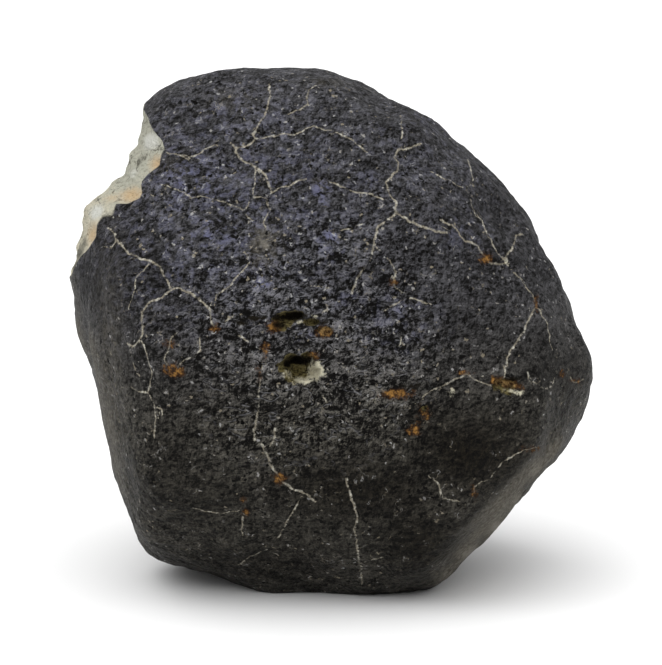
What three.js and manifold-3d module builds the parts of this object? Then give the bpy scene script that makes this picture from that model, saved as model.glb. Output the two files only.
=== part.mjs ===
// Stony meteorite: one crusted, blunt-faced stone with a chipped corner and a few open pits.
//
// The stone is described around its heart, a point deep inside it. Every direction from the heart
// is given by its bearing, counted anticlockwise from the right on the front outline, and its lean,
// counted from the outline plane towards the front. The front leans back a little, so the outline
// plane does too. X is to the right, Y goes back and Z is up, in millimetres, and the origin is on
// the flat resting spot, straight below the heart.

import * as THREE from 'three';
import { mergeVertices } from 'three/addons/utils/BufferGeometryUtils.js';
import Module from 'manifold-3d';

// Driving dimensions: millimetres and degrees.
const HEART_HEIGHT = 34.5;
const FRONT_LEAN = 10;
const FRONT_DEPTH = 32;
const BACK_DEPTH = 33;

// The flats of the front outline: [bearing, distance from the heart].
const OUTLINE_FLATS = [
  [24, 31.6], [46, 31.4], [66, 32.8], [92, 36.5], [121, 41.2], [152, 39.0], [194, 34.0],
  [231, 41.2], [250, 38.3], [268, 37.6], [287, 38.4], [308, 38.6], [326, 36.3], [345, 37.3],
];

// The blunt faces that the stone was worn to: [bearing, lean, distance from the heart].
const FACES = {
  upperFront: [110, 62, 28.2],
  middleFront: [-10, 76, 27.2],
  lowerFront: [262, 66, 28.6],
  lowerEdge: [262, 36, 33.0],
  leftSide: [193, 12, 35.0],
  lowerRight: [318, 14, 35.7],
  rightSide: [0, 38, 34.2],
  upperRight: [42, 40, 31.0],
  upperLeft: [150, 35, 36.0],
  topBack: [100, -35, 34.0],
  rightBack: [15, -40, 32.0],
  leftBack: [200, -45, 32.0],
  underBack: [300, -25, 35.5],
  upperBack: [60, -76, 29.0],
  lowerBack: [250, -68, 30.0],
};

// How sharply the flats, the outline's rim and the faces meet: a higher power is a crisper edge.
const OUTLINE_POWER = 40;
const RIM_POWER = 2.6;
const FACE_POWER = 22;

// Gentle unevenness all over: waves along evenly spread axes, in radians per radian of turn.
const WAVE_COUNT = 18;
const WAVE_HEIGHT = 0.11;
const SLOWEST_WAVE = 12;
const FASTEST_WAVE = 27;
const WAVE_PHASE_STEP = 1.7;

// Lumps (positive) and hollows (negative) on the front: [across, up, reach, height].
const FRONT_RELIEF = [
  [-4.1, 8.5, 2.4, -0.5], [3.8, 1.6, 2.2, -0.5], [-17.2, -5.6, 3.2, -0.5],
  [-3.4, -12.2, 2.8, -0.5], [15.6, -16.1, 5.2, -0.7], [-1.4, -19.7, 3.6, -0.4],
  [10.4, -21.0, 3.6, -0.5], [11.0, 18.7, 3.2, -0.5], [12.4, -2.3, 4.2, 0.5],
  [-21.0, 22.0, 3.2, 0.4], [-20.5, 14.0, 3.6, 0.4], [-16.6, 1.0, 3.2, 0.4],
  [-4.1, -1.4, 2.4, 0.5], [22.0, 8.0, 3.0, -0.4], [-8.0, 24.0, 4.0, -0.4],
];

// Lumps and hollows on the sides and the back: [bearing, lean, reach, height].
const SIDE_RELIEF = [
  [168, 4, 2.6, 0.6], [40, 2, 3.0, 0.4], [28, -6, 3.0, -0.3], [80, -20, 6.0, -0.8],
  [130, -42, 7.0, -1.1], [185, -30, 6.0, -0.8], [20, -22, 6.5, -0.9], [340, -38, 7.0, -1.0],
  [60, -52, 7.0, -1.0], [200, -62, 6.5, -1.1], [290, -58, 6.0, -0.9], [100, -74, 5.5, -0.8],
  [245, -28, 6.0, -0.7], [5, -66, 5.0, 0.6], [150, -70, 5.0, 0.6],
];

// The broken corner at the upper left: how far out the break lies at each bearing, level with the
// heart, and how much further out it lies for each millimetre towards the back.
const BREAK_REACH = [[130.5, 38.8], [143, 35.3], [153, 37.5], [161, 37.2], [170, 41.5]];
const BREAK_SLOPE = 0.22;
const BREAK_LEANS = [-42, 42];
const BREAK_STEPS = [24, 18];
const BREAK_OUTER = 60;
const BREAK_ROUGHNESS = 0.1;
const BREAK_PACE = 2.6;

// Open pits in the front: [across, up, width, height, depth], below the skin at that place.
const PITS = [
  [-3.9, -4.7, 5.4, 3.6, 2.8],
  [-6.2, 1.5, 2.8, 2.0, 1.7],
  [-0.6, 0.3, 2.4, 1.6, 1.5],
  [23.6, -7.2, 4.2, 1.9, 1.0],
];
const PIT_DETAIL = 4;
const PIT_ROUGHNESS = 0.14;
const PIT_RIPPLES = 4;

// Fineness of the stone's skin, and the slab that cuts the resting spot flat.
const SKIN_DETAIL = 18;
const CUT_SLAB = 200;

// Rounds of the search for a place on the front.
const SEARCH_ROUNDS = 12;

const CRUST = { color: 0x35343a, roughness: 0.55, metalness: 0 };

const wasm = await Module();
wasm.setup();

const radians = THREE.MathUtils.degToRad;

// The outline's right, its up and the way to the front, as directions of the part.
const ACROSS = new THREE.Vector3(1, 0, 0);
const UP = new THREE.Vector3(0, Math.sin(radians(FRONT_LEAN)), Math.cos(radians(FRONT_LEAN)));
const FRONT = new THREE.Vector3().crossVectors(ACROSS, UP);
const HEART = new THREE.Vector3(0, 0, HEART_HEIGHT);

function direction(bearing, lean) {
  const flat = Math.cos(radians(lean));
  const across = flat * Math.cos(radians(bearing));
  const up = flat * Math.sin(radians(bearing));
  return new THREE.Vector3(across, up, Math.sin(radians(lean)));
}

const OUTLINE_NORMALS = OUTLINE_FLATS.map(([bearing, distance]) => [direction(bearing, 0), distance]);
const FACE_NORMALS = Object.values(FACES).map(
  ([bearing, lean, distance]) => [direction(bearing, lean), distance],
);

// Planes blended into one blunt form: the inverse reaches are added as powers.
function blendedCloseness(ray, planes, power) {
  let sum = 0;
  for (const [normal, distance] of planes) {
    sum += (Math.max(normal.dot(ray), 0) / distance) ** power;
  }
  return sum;
}

// Reach of the smooth stone along a ray from the heart: outline, rounded rim, then the worn faces.
function smoothReach(ray) {
  const rim = blendedCloseness(ray, OUTLINE_NORMALS, OUTLINE_POWER) ** (RIM_POWER / OUTLINE_POWER);
  const depth = ray.z > 0 ? FRONT_DEPTH : BACK_DEPTH;
  const body = (rim + (Math.abs(ray.z) / depth) ** RIM_POWER) ** (FACE_POWER / RIM_POWER);
  return (body + blendedCloseness(ray, FACE_NORMALS, FACE_POWER)) ** (-1 / FACE_POWER);
}

// The ray from the heart to the place on the front at this distance across and up.
function frontRay(across, up) {
  const place = new THREE.Vector3(across, up, FRONT_DEPTH);
  for (let step = 0; step < SEARCH_ROUNDS; step += 1) {
    const ray = place.clone().normalize();
    place.z = ray.z * smoothReach(ray);
  }
  return place.normalize();
}

// The k-th of a number of directions spread evenly over the ball by the golden angle.
function spreadDirection(k, count) {
  const height = 1 - (2 * k + 1) / count;
  const turn = k * Math.PI * (3 - Math.sqrt(5));
  const flat = Math.sqrt(1 - height * height);
  return new THREE.Vector3(flat * Math.cos(turn), flat * Math.sin(turn), height);
}

const WAVES = Array.from({ length: WAVE_COUNT }, (_, k) => ({
  axis: spreadDirection(k, WAVE_COUNT),
  pace: THREE.MathUtils.lerp(SLOWEST_WAVE, FASTEST_WAVE, k / (WAVE_COUNT - 1)),
  phase: k * WAVE_PHASE_STEP,
}));

// All the waves added up at a ray; a higher hurry makes every wave shorter.
function waveSum(ray, hurry) {
  let sum = 0;
  for (const { axis, pace, phase } of WAVES) {
    sum += Math.sin(hurry * pace * axis.dot(ray) + phase);
  }
  return sum;
}

const RELIEF = [
  ...FRONT_RELIEF.map(([across, up, reach, height]) => ({ ray: frontRay(across, up), reach, height })),
  ...SIDE_RELIEF.map(([bearing, lean, reach, height]) => ({ ray: direction(bearing, lean), reach, height })),
];

// Lumps and hollows: a bell curve of the distance from each one's middle.
function relief(ray, reachHere) {
  let sum = 0;
  for (const { ray: middle, reach, height } of RELIEF) {
    const away = (middle.distanceTo(ray) * reachHere) / reach;
    sum += height * Math.exp(-away * away);
  }
  return sum;
}

function skinReach(ray) {
  const smooth = smoothReach(ray);
  return smooth + WAVE_HEIGHT * waveSum(ray, 1) + relief(ray, smooth);
}

// From the heart's own axes to the part's.
function toPart(point) {
  return HEART.clone()
    .addScaledVector(ACROSS, point.x)
    .addScaledVector(UP, point.y)
    .addScaledVector(FRONT, point.z);
}

// Moves every corner of a geometry and merges the corners that meet.
function reshape(geometry, move) {
  geometry.deleteAttribute('normal');
  geometry.deleteAttribute('uv');
  const merged = mergeVertices(geometry);
  const places = merged.attributes.position;
  const corner = new THREE.Vector3();
  for (let i = 0; i < places.count; i += 1) {
    const moved = move(corner.fromBufferAttribute(places, i).clone());
    places.setXYZ(i, moved.x, moved.y, moved.z);
  }
  return merged;
}

function toSolid(geometry) {
  const merged = geometry.index ? geometry : mergeVertices(geometry);
  return new wasm.Manifold(new wasm.Mesh({
    numProp: 3,
    vertProperties: new Float32Array(merged.attributes.position.array),
    triVerts: new Uint32Array(merged.index.array),
  }));
}

function toGeometry(solid) {
  const { vertProperties, triVerts } = solid.getMesh();
  const geometry = new THREE.BufferGeometry();
  geometry.setAttribute('position', new THREE.BufferAttribute(vertProperties, 3));
  geometry.setIndex(new THREE.BufferAttribute(triVerts, 1));
  geometry.computeVertexNormals();
  return geometry;
}

// The crusted stone before its corner broke: a fine ball, each corner moved out to the skin.
function wholeStone() {
  return reshape(new THREE.IcosahedronGeometry(1, SKIN_DETAIL), (corner) => {
    const ray = corner.normalize();
    return toPart(ray.multiplyScalar(skinReach(ray)));
  });
}

// How far out the break lies at a bearing, level with the heart.
function breakReach(bearing) {
  const next = BREAK_REACH.findIndex(([edge]) => edge >= bearing);
  const [[startBearing, start], [endBearing, end]] = BREAK_REACH.slice(Math.max(next, 1) - 1);
  return THREE.MathUtils.mapLinear(bearing, startBearing, endBearing, start, end);
}

// What broke off: a block whose inner face is the break and whose outer face is clear of the stone.
function brokenCorner() {
  const firstBearing = BREAK_REACH[0][0];
  const lastBearing = BREAK_REACH[BREAK_REACH.length - 1][0];
  const block = new THREE.BoxGeometry(1, 1, 1, BREAK_STEPS[0], BREAK_STEPS[1], 1);
  return reshape(block, ({ x, y, z }) => {
    const bearing = THREE.MathUtils.lerp(firstBearing, lastBearing, x + 0.5);
    const lean = THREE.MathUtils.lerp(BREAK_LEANS[0], BREAK_LEANS[1], y + 0.5);
    const ray = direction(bearing, lean);
    const flat = Math.cos(radians(lean));
    const inner = breakReach(bearing) / (flat + BREAK_SLOPE * ray.z);
    const rough = BREAK_ROUGHNESS * waveSum(ray, BREAK_PACE);
    return toPart(ray.multiplyScalar(z > 0 ? BREAK_OUTER : inner + rough));
  });
}

// A pit: a rough, flattened ball half sunk in the skin.
function pit([across, up, width, height, depth]) {
  const ray = frontRay(across, up);
  const middle = ray.clone().multiplyScalar(skinReach(ray));
  return reshape(new THREE.IcosahedronGeometry(1, PIT_DETAIL), (corner) => {
    const rough = 1 + PIT_ROUGHNESS * Math.sin(PIT_RIPPLES * (corner.x + corner.y * corner.y) + across);
    const offset = new THREE.Vector3(corner.x * width / 2, corner.y * height / 2, corner.z * depth);
    return toPart(middle.clone().addScaledVector(offset, rough));
  });
}

// The slab below the resting spot.
function groundSlab() {
  const slab = new THREE.BoxGeometry(CUT_SLAB, CUT_SLAB, CUT_SLAB);
  return reshape(slab, (corner) => corner.setZ(corner.z - CUT_SLAB / 2));
}

function stoneSolid() {
  let solid = toSolid(wholeStone()).subtract(toSolid(brokenCorner()));
  for (const place of PITS) {
    solid = solid.subtract(toSolid(pit(place)));
  }
  return solid.subtract(toSolid(groundSlab()));
}

const stone = new THREE.Mesh(toGeometry(stoneSolid()), new THREE.MeshStandardMaterial(CRUST));
stone.name = 'stone';

const meteorite = new THREE.Group();
meteorite.add(stone);

export default meteorite;
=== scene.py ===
# %% [markdown]
# # A stony meteorite, worked out as one surface
#
# The object is a single stone as large as a fist. Its melted skin, the fusion crust, is nearly black
# and crazed with tan shrinkage cracks; one corner has broken away and shows the pale inside, and a few
# rusty pits open in its front. One closed surface is the right build, because the real thing is one
# piece. The packed solid gives its size and place, and this lesson makes the fine surface over it.

# %% Load the frame
import math
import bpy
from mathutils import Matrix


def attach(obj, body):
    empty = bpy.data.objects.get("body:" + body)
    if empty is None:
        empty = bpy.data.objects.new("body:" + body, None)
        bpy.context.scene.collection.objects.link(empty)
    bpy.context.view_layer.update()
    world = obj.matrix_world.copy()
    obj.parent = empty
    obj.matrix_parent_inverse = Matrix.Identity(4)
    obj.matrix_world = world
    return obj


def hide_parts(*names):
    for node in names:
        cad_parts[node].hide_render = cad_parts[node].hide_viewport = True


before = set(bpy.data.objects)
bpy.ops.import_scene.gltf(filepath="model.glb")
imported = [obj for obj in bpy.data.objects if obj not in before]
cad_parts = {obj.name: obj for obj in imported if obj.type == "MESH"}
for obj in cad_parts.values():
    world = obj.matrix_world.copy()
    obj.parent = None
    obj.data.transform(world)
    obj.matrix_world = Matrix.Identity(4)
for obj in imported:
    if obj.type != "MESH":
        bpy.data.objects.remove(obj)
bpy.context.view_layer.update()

from types import SimpleNamespace

import bpy
import numpy as np
from mathutils import Matrix

# %% [markdown]
# ## Where the stone is measured from
#
# A lump like this has no axis, so its surface is described by rays from a point deep inside it, the
# heart: one length for each ray. Rays are written in the heart's own axes, which are across, up and
# out to the front. The front face leans back ten degrees, and the camera looks straight at it, so these
# axes are the camera's axes too. Lengths are millimetres until the mesh is made.

# %% The heart and its axes
MM = 0.001
HEART = np.array([0.0, 0.0, 34.5])
FRONT_LEAN = math.radians(10)
ACROSS = np.array([1.0, 0.0, 0.0])
UP = np.array([0.0, math.sin(FRONT_LEAN), math.cos(FRONT_LEAN)])
FRONT = np.cross(ACROSS, UP)
AXES = np.stack([ACROSS, UP, FRONT])


def to_part(points):
    """Each point's three heart distances, carried along the three axes from the heart."""
    return HEART + points @ AXES


def unit(vectors):
    """Each vector divided by its own length."""
    return vectors / np.linalg.norm(vectors, axis=-1, keepdims=True)


def ray_at(bearing, lean):
    """The ray at a bearing (degrees round the outline from the right) and a lean to the front."""
    turn, rise = np.radians(bearing), np.radians(lean)
    return np.stack([np.cos(rise) * np.cos(turn), np.cos(rise) * np.sin(turn), np.sin(rise)], axis=-1)


print("front axis in the part's frame:", FRONT.round(3))

# %% [markdown]
# ## The camera
#
# The photo was taken from close by with a long lens. Each photo pixel covers 0.14 mm at the heart,
# which fixes the distance once the lens is chosen. The same numbers later turn a pixel of the photo into
# a ray, so that a crack read off the photo lands on the right place of the stone.

# %% Camera at the photo's viewing angle
PHOTO_SIZE = np.array([662.0, 665.0])
MM_PER_PIXEL = 0.14
LENS = 150.0
SENSOR = 36.0
FARTHEST_SEEN = 100
PIXELS_PER_SLOPE = LENS / SENSOR * PHOTO_SIZE.max()
CAMERA_DISTANCE = PIXELS_PER_SLOPE * MM_PER_PIXEL

lens = bpy.data.cameras.new("camera")
lens.lens = LENS
lens.sensor_width = SENSOR
lens.sensor_fit = "AUTO"
lens.clip_end = FARTHEST_SEEN
camera = bpy.data.objects.new("camera", lens)
bpy.context.collection.objects.link(camera)
camera_place = np.eye(4)
camera_place[:3, :3] = AXES.T
camera_place[:3, 3] = (HEART + FRONT * CAMERA_DISTANCE) * MM
camera.matrix_world = Matrix(camera_place.tolist())
bpy.context.scene.camera = camera
print("camera distance in mm:", round(CAMERA_DISTANCE, 1))

# %% [markdown]
# ## The blunt, many-faced form
#
# Flying through the air wore the stone to flat faces with soft edges between them. Modelling those by
# hand would mean pulling corners about; here every face is a plane, and the planes are blended. For one
# plane the reach of a ray is distance / cosine. Adding the inverse reaches as high powers gives the
# nearest plane almost everywhere and a rounded edge where two are equally near.

# %% Planes of the outline and of the worn faces
OUTLINE_FLATS = np.array([
    [24, 31.6], [46, 31.4], [66, 32.8], [92, 36.5], [121, 41.2], [152, 39.0], [194, 34.0],
    [231, 41.2], [250, 38.3], [268, 37.6], [287, 38.4], [308, 38.6], [326, 36.3], [345, 37.3],
])
FACES = {
    "upper_front": (110, 62, 28.2), "middle_front": (-10, 76, 27.2), "lower_front": (262, 66, 28.6),
    "lower_edge": (262, 36, 33.0), "left_side": (193, 12, 35.0), "lower_right": (318, 14, 35.7),
    "right_side": (0, 38, 34.2), "upper_right": (42, 40, 31.0), "upper_left": (150, 35, 36.0),
    "top_back": (100, -35, 34.0), "right_back": (15, -40, 32.0), "left_back": (200, -45, 32.0),
    "under_back": (300, -25, 35.5), "upper_back": (60, -76, 29.0), "lower_back": (250, -68, 30.0),
}
FRONT_DEPTH = 32.0
BACK_DEPTH = 33.0
OUTLINE_POWER = 40
RIM_POWER = 2.6
FACE_POWER = 22


def closeness(rays, normals, distances, power):
    """Sum over the planes of (cosine to the plane's normal / its distance) to the power."""
    return ((np.maximum(rays @ normals.T, 0) / distances) ** power).sum(axis=-1)


OUTLINE_NORMALS = ray_at(OUTLINE_FLATS[:, 0], 0 * OUTLINE_FLATS[:, 0])
FACE_TABLE = np.array(list(FACES.values()))
FACE_NORMALS = ray_at(FACE_TABLE[:, 0], FACE_TABLE[:, 1])


def smooth_reach(rays):
    """Outline and depth added as an oval of power 2.6, then blended with the worn faces."""
    rim = closeness(rays, OUTLINE_NORMALS, OUTLINE_FLATS[:, 1], OUTLINE_POWER) ** (RIM_POWER / OUTLINE_POWER)
    depth = np.where(rays[:, 2] > 0, FRONT_DEPTH, BACK_DEPTH)
    body = (rim + (np.abs(rays[:, 2]) / depth) ** RIM_POWER) ** (FACE_POWER / RIM_POWER)
    faces = closeness(rays, FACE_NORMALS, FACE_TABLE[:, 2], FACE_POWER)
    return (body + faces) ** (-1 / FACE_POWER)


print("reach to the right, up and front in mm:", smooth_reach(np.eye(3)).round(1))

# %% [markdown]
# ## Lumps, hollows and gentle waves
#
# No face of a real stone is quite flat. Slow waves along axes spread over the ball make the large
# unevenness, and bell-shaped lumps and hollows go where the photo shows them. The hidden sides get broad
# thumb-print hollows, which the air scoops out of such stones in flight.

# %% Waves and bell-shaped relief
WAVE_COUNT = 18
WAVE_HEIGHT = 0.11
SLOWEST_WAVE = 12
FASTEST_WAVE = 27
WAVE_PHASE_STEP = 1.7
DEPTH_ROUNDS = 12
FRONT_RELIEF = np.array([
    [-4.1, 8.5, 2.4, -0.5], [3.8, 1.6, 2.2, -0.5], [-17.2, -5.6, 3.2, -0.5],
    [-3.4, -12.2, 2.8, -0.5], [15.6, -16.1, 5.2, -0.7], [-1.4, -19.7, 3.6, -0.4],
    [10.4, -21.0, 3.6, -0.5], [11.0, 18.7, 3.2, -0.5], [12.4, -2.3, 4.2, 0.5],
    [-21.0, 22.0, 3.2, 0.4], [-20.5, 14.0, 3.6, 0.4], [-16.6, 1.0, 3.2, 0.4],
    [-4.1, -1.4, 2.4, 0.5], [22.0, 8.0, 3.0, -0.4], [-8.0, 24.0, 4.0, -0.4],
])
SIDE_RELIEF = np.array([
    [168, 4, 2.6, 0.6], [40, 2, 3.0, 0.4], [28, -6, 3.0, -0.3], [80, -20, 6.0, -0.8],
    [130, -42, 7.0, -1.1], [185, -30, 6.0, -0.8], [20, -22, 6.5, -0.9], [340, -38, 7.0, -1.0],
    [60, -52, 7.0, -1.0], [200, -62, 6.5, -1.1], [290, -58, 6.0, -0.9], [100, -74, 5.5, -0.8],
    [245, -28, 6.0, -0.7], [5, -66, 5.0, 0.6], [150, -70, 5.0, 0.6],
])


def spread_directions(count):
    """Directions turned by the golden angle from one to the next, in even steps of height."""
    k = np.arange(count)
    height = 1 - (2 * k + 1) / count
    turn = k * np.pi * (3 - math.sqrt(5))
    flat = np.sqrt(1 - height ** 2)
    return np.stack([flat * np.cos(turn), flat * np.sin(turn), height], axis=-1)


def wave_sum(rays, hurry):
    """Sum of sines: each wave's pace times the ray's share of that wave's axis, plus its phase."""
    pace = np.linspace(SLOWEST_WAVE, FASTEST_WAVE, WAVE_COUNT)
    phase = np.arange(WAVE_COUNT) * WAVE_PHASE_STEP
    return np.sin(hurry * pace * (rays @ spread_directions(WAVE_COUNT).T) + phase).sum(axis=-1)


def front_rays(places):
    """Rays to places given across and up on the front: the depth is searched by going to and fro."""
    points = np.column_stack([places, np.full(len(places), FRONT_DEPTH)])
    for _ in range(DEPTH_ROUNDS):
        rays = unit(points)
        points[:, 2] = rays[:, 2] * smooth_reach(rays)
    return unit(points)


RELIEF_RAYS = np.concatenate([front_rays(FRONT_RELIEF[:, :2]), ray_at(SIDE_RELIEF[:, 0], SIDE_RELIEF[:, 1])])
RELIEF_SIZES = np.concatenate([FRONT_RELIEF[:, 2:], SIDE_RELIEF[:, 2:]])


def skin_reach(rays):
    """The smooth reach plus the waves plus each lump's height times exp(-(distance / size) squared)."""
    smooth = smooth_reach(rays)
    lumps = np.zeros(len(rays))
    for middle, (size, height) in zip(RELIEF_RAYS, RELIEF_SIZES):
        away = np.linalg.norm(rays - middle, axis=-1) * smooth / size
        lumps += height * np.exp(-away ** 2)
    return smooth + WAVE_HEIGHT * wave_sum(rays, 1) + lumps


print("lumps and hollows:", len(RELIEF_RAYS))

# %% [markdown]
# ## The grid of rays
#
# A globe with poles would crowd its cells at two points and stretch them elsewhere. A cube blown up to
# a ball has no poles: each of its six faces is a square grid. Every ray is then drawn a little towards
# the front, so that the side seen best gets the smallest cells. Rays along the cube's edges are met
# twice, so equal rays are merged and the surface is closed.

# %% A cube of square grids blown up to a ball
CELLS = 128
DRAWN_TO_FRONT = 0.3


def ball_grid(cells):
    """Six grids (1, tan s, tan t), turned to the six sides; returns rays, quads and grid places."""
    side = np.tan(np.linspace(-np.pi / 4, np.pi / 4, cells + 1))
    s, t = np.meshgrid(side, side, indexing="ij")
    one = np.ones_like(s)
    sides = [(one, s, t), (-one, t, s), (t, one, s), (s, -one, t), (s, t, one), (t, s, -one)]
    rays = unit(np.concatenate([np.stack(xyz, axis=-1).reshape(-1, 3) for xyz in sides]))
    index = np.arange(len(rays)).reshape(6, cells + 1, cells + 1)
    quads = np.stack([index[:, :-1, :-1], index[:, 1:, :-1], index[:, 1:, 1:], index[:, :-1, 1:]], axis=-1)
    _, first, same = np.unique(rays.round(6), axis=0, return_index=True, return_inverse=True)
    return rays[first], same.ravel()[quads.reshape(-1, 4)], quads.reshape(-1, 4)


ball_rays, quads, grid_corners = ball_grid(CELLS)
rays = unit(ball_rays + DRAWN_TO_FRONT * np.array([0.0, 0.0, 1.0]))
print("rays:", len(rays), "quads:", len(quads), "triangles:", 2 * len(quads))

# %% [markdown]
# ## Repeatable clouds
#
# Grain, crags and ragged edges need irregular numbers that are the same on every run. Each corner of a
# lattice gets a number scrambled from its own whole-number place, and points between the corners take a
# smooth blend of the eight around them.

# %% Lattice clouds
CORNERS = np.array([[i, j, k] for i in (0, 1) for j in (0, 1) for k in (0, 1)])
SCRAMBLE = np.array([73856093, 19349663, 83492791])
SHUFFLE = 1274126177
SEED_STRIDE = 40503
LOW_BITS = 0xFFFF


def scrambled(cells, seed):
    """Whole-number places multiplied by large primes and shuffled bit by bit, as -1 to 1."""
    mixed = np.bitwise_xor.reduce(cells * SCRAMBLE, axis=-1) + seed * SEED_STRIDE
    mixed = (mixed ^ (mixed >> 13)) * SHUFFLE
    mixed = (mixed ^ (mixed >> 16)) & LOW_BITS
    return 2 * mixed / LOW_BITS - 1


def cloud(points, size, seed):
    """Lattice numbers a given size apart, blended by 3u^2 - 2u^3 along each axis."""
    places = points / size
    cells = np.floor(places).astype(np.int64)
    part = places - cells
    part = part * part * (3 - 2 * part)
    total = np.zeros(len(points))
    for corner in CORNERS:
        share = np.where(corner == 1, part, 1 - part).prod(axis=-1)
        total += share * scrambled(cells + corner, seed)
    return total


def layered(points, layers):
    """Clouds added up, each layer giving its cloud's size, height and seed."""
    return sum(height * cloud(points, size, seed) for size, height, seed in layers)


def rise(low, high, values):
    """0 below low, 1 above high, and a smooth 3u^2 - 2u^3 step between."""
    u = np.clip((values - low) / (high - low), 0, 1)
    return u * u * (3 - 2 * u)


print("a cloud's spread:", cloud(rays * 30, 2.0, 1).std().round(3))

# %% [markdown]
# ## From photo pixels to places on the stone
#
# A pixel is a straight line from the camera. The line is followed inwards until it first dips below
# the skin, and halving the last step finds the crossing. All pixels are followed at once.

# %% Follow pixels to the skin
MARCH_FROM = 38.0
MARCH_TO = -14.0
MARCH_STEPS = 53
HALVINGS = 10


def line_points(pixels, depth):
    """The pixel's offset from the frame's centre, scaled by the distance left to the camera."""
    offset = (pixels - PHOTO_SIZE / 2) * [1, -1] / PIXELS_PER_SLOPE
    return np.column_stack([offset * (CAMERA_DISTANCE - depth)[:, None], depth])


def above_skin(points):
    """How far each point is outside the skin, along its own ray."""
    length = np.linalg.norm(points, axis=-1)
    return length - skin_reach(points / length[:, None])


def on_stone(pixels):
    """First crossing of each pixel's line with the skin, by even steps and then by halving."""
    pixels = np.asarray(pixels, dtype=float)
    steps = np.linspace(MARCH_FROM, MARCH_TO, MARCH_STEPS)
    heights = np.stack([above_skin(line_points(pixels, np.full(len(pixels), d))) for d in steps])
    inside = heights < 0
    hit = np.where(inside.any(axis=0), inside.argmax(axis=0), heights.argmin(axis=0))
    inner = steps[hit]
    outer = inner + (steps[0] - steps[1])
    for _ in range(HALVINGS):
        middle = (inner + outer) / 2
        below = above_skin(line_points(pixels, middle)) < 0
        inner = np.where(below, middle, inner)
        outer = np.where(below, outer, middle)
    return line_points(pixels, inner)


print("the frame's centre lies at", on_stone([PHOTO_SIZE / 2]).round(2))

# %% [markdown]
# ## Grain, crags and smooth-worn sides
#
# The crust is rough where it bubbled and smooth where it was rubbed: the left side and the lower right
# face are worn smooth and dusty, and the ground round the pits is torn into small ledges. A point lies on
# a worn face where its own reach equals that face's plane, which gives a mask for each. Only grain that
# the cells can hold is raised here. Finer grain is left to the material's bump.

# %% Raise the grain
FACE_TOUCH = (0.945, 0.985)
CRAG_MIDDLE = (305, 345)
CRAG_REACH = 15.0
GRAIN_LAYERS = [(4.6, 0.11, 11), (2.3, 0.10, 12), (1.2, 0.11, 13), (0.7, 0.08, 14)]
LEDGE_LAYERS = [(3.4, 1.0, 15), (1.7, 0.6, 16)]
LEDGE_SQUEEZE = np.array([1.0, 1.5, 1.0])
LEDGE_DEPTH = 0.75
LEDGE_MIDDLE = 0.35
WORN_SMOOTHNESS = 0.65

skin = skin_reach(rays)
skin_points = rays * skin[:, None]


def on_face(name):
    """1 where the skin touches that face's plane, falling to 0 where it has turned away from it."""
    bearing, lean, distance = FACES[name]
    return rise(*FACE_TOUCH, (skin_points @ ray_at(bearing, lean)) / distance)


crag_away = np.linalg.norm(skin_points - on_stone([CRAG_MIDDLE]), axis=-1) / CRAG_REACH
crag = np.exp(-crag_away ** 2)
worn = np.clip(on_face("left_side") + on_face("lower_right"), 0, 1)
grain = layered(skin_points, GRAIN_LAYERS) * (1 - WORN_SMOOTHNESS * worn)
squeezed = skin_points * LEDGE_SQUEEZE
ledges = sum(height * np.abs(cloud(squeezed, size, seed)) for size, height, seed in LEDGE_LAYERS)
skin = skin + grain - LEDGE_DEPTH * crag * (ledges - LEDGE_MIDDLE)
print("grain in mm, lowest and highest:", grain.min().round(2), grain.max().round(2))

# %% [markdown]
# ## The broken corner
#
# At the upper left a corner has snapped off, and the pale, sugary inside shows. Two lines are read from
# the photo as reaches at bearings: the outline of the break, and the edge of the crust on the front. Skin
# that the camera sees farther out than the crust's edge is drawn in, in even proportion, so that the
# whole corner's outline comes to lie on the broken one. How deep the cut is stays on the points, so that
# the material can find the edge of the crust to a fraction of a cell.

# %% Cut the corner off
BREAK_OUTLINE = np.array([
    [128.6, 41.6], [130.4, 40.7], [131.1, 39.8], [133.3, 39.0], [136.0, 37.8], [138.4, 37.4], [140.2, 36.6],
    [142.3, 36.1], [144.9, 36.4], [148.7, 37.0], [150.7, 37.9], [153.0, 38.7], [155.7, 38.2], [157.5, 37.6],
    [162.0, 37.4], [163.8, 36.9], [166.0, 37.1], [168.0, 37.3], [171.0, 41.0],
])
CRUST_EDGE = np.array([
    [128.6, 41.6], [130.4, 40.6], [130.9, 38.2], [131.5, 35.9], [131.9, 34.8], [133.9, 34.3], [135.9, 33.5],
    [139.4, 33.9], [141.3, 33.9], [143.6, 32.9], [145.2, 32.7], [147.2, 33.5], [149.1, 35.1], [151.7, 34.7],
    [153.1, 35.8], [155.1, 36.1], [157.9, 35.5], [160.8, 35.9], [163.3, 36.7], [166.0, 37.1],
    [168.0, 37.3], [171.0, 41.0],
])
EDGE_WANDER = [(1.1, 0.35, 21)]
BREAK_LUMPS = [(2.2, 0.34, 22), (0.9, 0.18, 23)]
LUMPS_GROW = (0.0, 1.0)
DEPTH_KEPT = (-1, 6)
LEAST_BESIDE = 0.01
LEAST_CORNER = 0.1
NO_CUT = 99.0

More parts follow.
